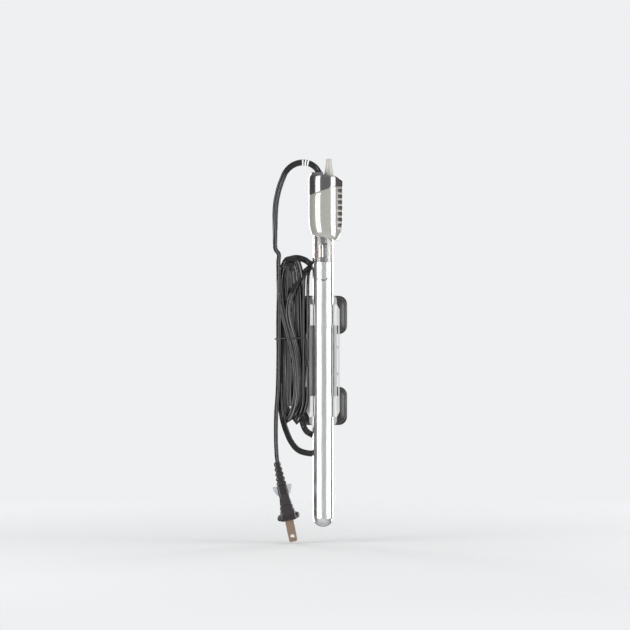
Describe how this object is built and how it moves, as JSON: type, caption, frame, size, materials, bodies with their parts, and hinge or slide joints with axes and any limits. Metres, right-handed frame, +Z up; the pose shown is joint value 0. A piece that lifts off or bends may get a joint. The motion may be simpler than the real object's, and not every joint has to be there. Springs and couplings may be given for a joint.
{
  "type": "submersible aquarium heater",
  "caption": "Upright glass-tube aquarium heater with a temperature dial on its head, clip-on suction-cup bracket, stowed flat cord and two-blade plug.",
  "frame": {"origin": "on the glass tube's axis, at the centre of its domed lower end", "axes": "+Z up the tube towards the head, +Y back towards the aquarium wall that the suction cups hold, +X to the right as seen from the front"},
  "size_m": [0.0576, 0.033, 0.2911],
  "materials": {
    "tube_glass": "clear borosilicate tube, fire polished",
    "mirror_film": "bright reflective lining",
    "glass_fibre": "soft woven glass-fibre pad",
    "ceramic_white": "dry pressed ceramic",
    "shield_board": "mineral board",
    "resistance_wire": "oxidised resistance wire",
    "steel_wire": "drawn wire",
    "capacitor_coat": "dipped glossy coat",
    "phenolic_board": "phenolic board",
    "bimetal": "rolled strip",
    "contact_silver": "silver rivet",
    "spring_brass": "rolled spring brass",
    "magnet_iron": "sintered magnet",
    "wire_brown": "smooth wire sleeve",
    "wire_blue": "smooth wire sleeve",
    "lamp_glass": "small neon lamp",
    "resistor_body": "lacquered ceramic",
    "rubber_black": "soft black rubber",
    "collar_white": "moulded plastic",
    "head_grey": "satin warm grey moulding",
    "head_charcoal": "glossy charcoal moulding",
    "panel_grey": "satin grey inlay",
    "rib_black": "soft black grip ribs",
    "spindle_nylon": "natural nylon",
    "dial_grey": "light grey moulding",
    "cord_black": "flat twin flex with a satin sheath",
    "tie_grey": "coated wire tie",
    "plug_black": "moulded flexible plug",
    "collar_grey": "moulded grey collar",
    "blade_brass": "rolled brass blades",
    "bracket_white": "glossy off-white moulding",
    "cup_rubber": "soft dark rubber"
  },
  "bodies": {
    "heater": {"glass_tube": "tube_glass", "mirror_lining": "mirror_film", "end_cushion": "glass_fibre", "lower_spacer": "ceramic_white", "upper_spacer": "ceramic_white", "ceramic_core": "ceramic_white", "heat_shield": "shield_board", "heating_coil": "resistance_wire", "support_rods": "steel_wire", "suppression_capacitor": "capacitor_coat", "thermostat_frame": "phenolic_board", "arm_pivot_pin": "steel_wire", "screw_nut": "spring_brass", "live_wire": "wire_brown", "neutral_wire": "wire_blue", "indicator_lamp": "lamp_glass", "lamp_resistor": "resistor_body", "tube_stopper": "rubber_black", "tube_seal": "rubber_black", "spindle_o_ring": "rubber_black", "cord_grommet": "rubber_black", "clamp_collar": "collar_white", "head_shell": "head_grey", "head_top_cover": "head_charcoal", "side_panel": "panel_grey", "side_ribs": "rib_black", "power_cord": "cord_black", "cord_tie": "tie_grey", "plug_body": "plug_black", "plug_collar": "collar_grey", "plug_blades": "blade_brass"},
    "dial": {"temperature_dial": "dial_grey", "dial_spindle": "spindle_nylon"},
    "screw": {"adjusting_screw": "spring_brass"},
    "lever": {"contact_arm": "spring_brass", "arm_contact": "contact_silver", "snap_magnet": "magnet_iron"},
    "bimetal": {"bimetal_strip": "bimetal", "bimetal_contact": "contact_silver"},
    "holder": {"bracket": "bracket_white"},
    "upper_cup": {"suction_cup_upper": "cup_rubber"},
    "lower_cup": {"suction_cup_lower": "cup_rubber"}
  },
  "joints": [
    {"name": "dial_turn", "type": "hinge", "parent": "heater", "child": "dial", "pos_m": [0.0044, 0, 0.2586], "axis": [0, 0, 1], "range_deg": [-270, 0]},
    {"name": "screw_feed", "type": "slide", "parent": "dial", "child": "screw", "axis": [0, 0, 1], "range_m": [0, 0.000375]},
    {"name": "lever_tilt", "type": "hinge", "parent": "heater", "child": "lever", "pos_m": [-0.0006, 0, 0.18], "axis": [0, -1, 0], "range_deg": [0, 4.5]},
    {"name": "bimetal_bend", "type": "hinge", "parent": "heater", "child": "bimetal", "pos_m": [-0.0026, 0, 0.1232], "axis": [0, -1, 0], "range_deg": [0, 1.6]},
    {"name": "bracket_slide", "type": "slide", "parent": "heater", "child": "holder", "axis": [0, 0, 1], "range_m": [-0.006, 0.013]},
    {"name": "upper_cup_swivel", "type": "hinge", "parent": "holder", "child": "upper_cup", "pos_m": [0, 0.0134, 0.153], "axis": [0, 1, 0], "continuous": true},
    {"name": "lower_cup_swivel", "type": "hinge", "parent": "holder", "child": "lower_cup", "pos_m": [0, 0.0134, 0.0834], "axis": [0, 1, 0], "continuous": true}
  ],
  "couplings": [
    {"joint": "dial_turn", "follows": "screw_feed", "rad_per_m": -12566},
    {"joint": "lever_tilt", "follows": "screw_feed", "rad_per_m": 200}
  ]
}
